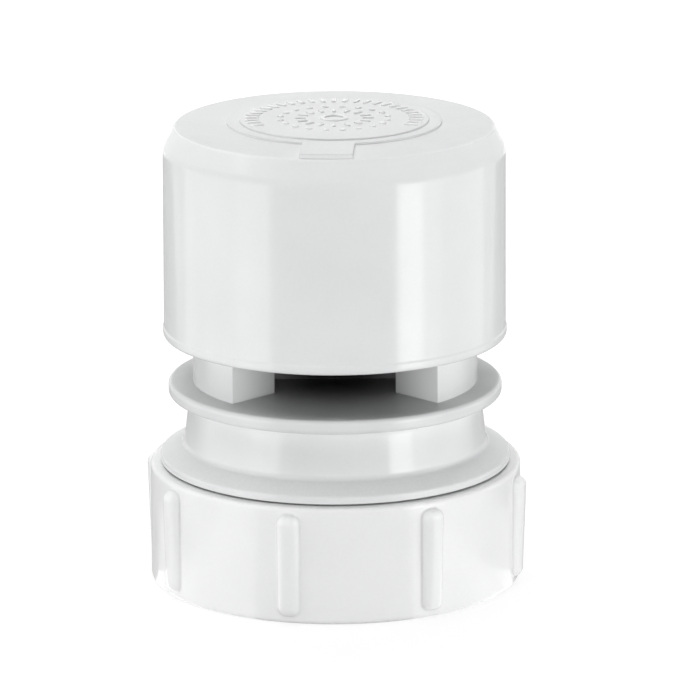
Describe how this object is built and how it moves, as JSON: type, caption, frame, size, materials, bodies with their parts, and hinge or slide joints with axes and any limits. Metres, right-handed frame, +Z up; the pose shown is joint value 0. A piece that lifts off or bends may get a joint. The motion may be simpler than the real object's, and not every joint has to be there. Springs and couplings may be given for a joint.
{
  "type": "air admittance valve",
  "caption": "White moulded air admittance valve: a tall cap over open air windows and a lifting rubber diaphragm, on a waisted neck with a ribbed compression nut for a waste pipe.",
  "frame": {"origin": "on the pipe axis, at the underside of the compression nut", "axes": "+Z up along the pipe axis; the air windows face -Y and +Y; the hollow posts stand at -X and +X"},
  "size_m": [0.0624, 0.0624, 0.0765],
  "materials": {
    "white_plastic": "smooth moulded polypropylene, soft gloss",
    "natural_plastic": "natural, slightly milky plastic",
    "black_rubber": "matt black rubber"
  },
  "bodies": {
    "housing": {"valve_body": "white_plastic", "cap": "white_plastic", "cap_seal": "black_rubber"},
    "valve": {"valve_disc": "natural_plastic", "diaphragm": "black_rubber"},
    "seal_stack": {"slip_ring": "natural_plastic", "pipe_seal": "black_rubber"},
    "nut": {"compression_nut": "white_plastic"}
  },
  "joints": [
    {"name": "valve_lift", "type": "slide", "parent": "housing", "child": "valve", "axis": [0, 0, 1], "range_m": [0, 0.005]},
    {"name": "nut_travel", "type": "slide", "parent": "housing", "child": "seal_stack", "axis": [0, 0, -1], "range_m": [0, 0.00875]},
    {"name": "nut_turn", "type": "hinge", "parent": "seal_stack", "child": "nut", "pos_m": [0, 0, 0.0096], "axis": [0, 0, -1], "range_deg": [0, 900]}
  ],
  "couplings": [
    {"joint": "nut_travel", "follows": "nut_turn", "m_per_rad": 0.000557}
  ]
}
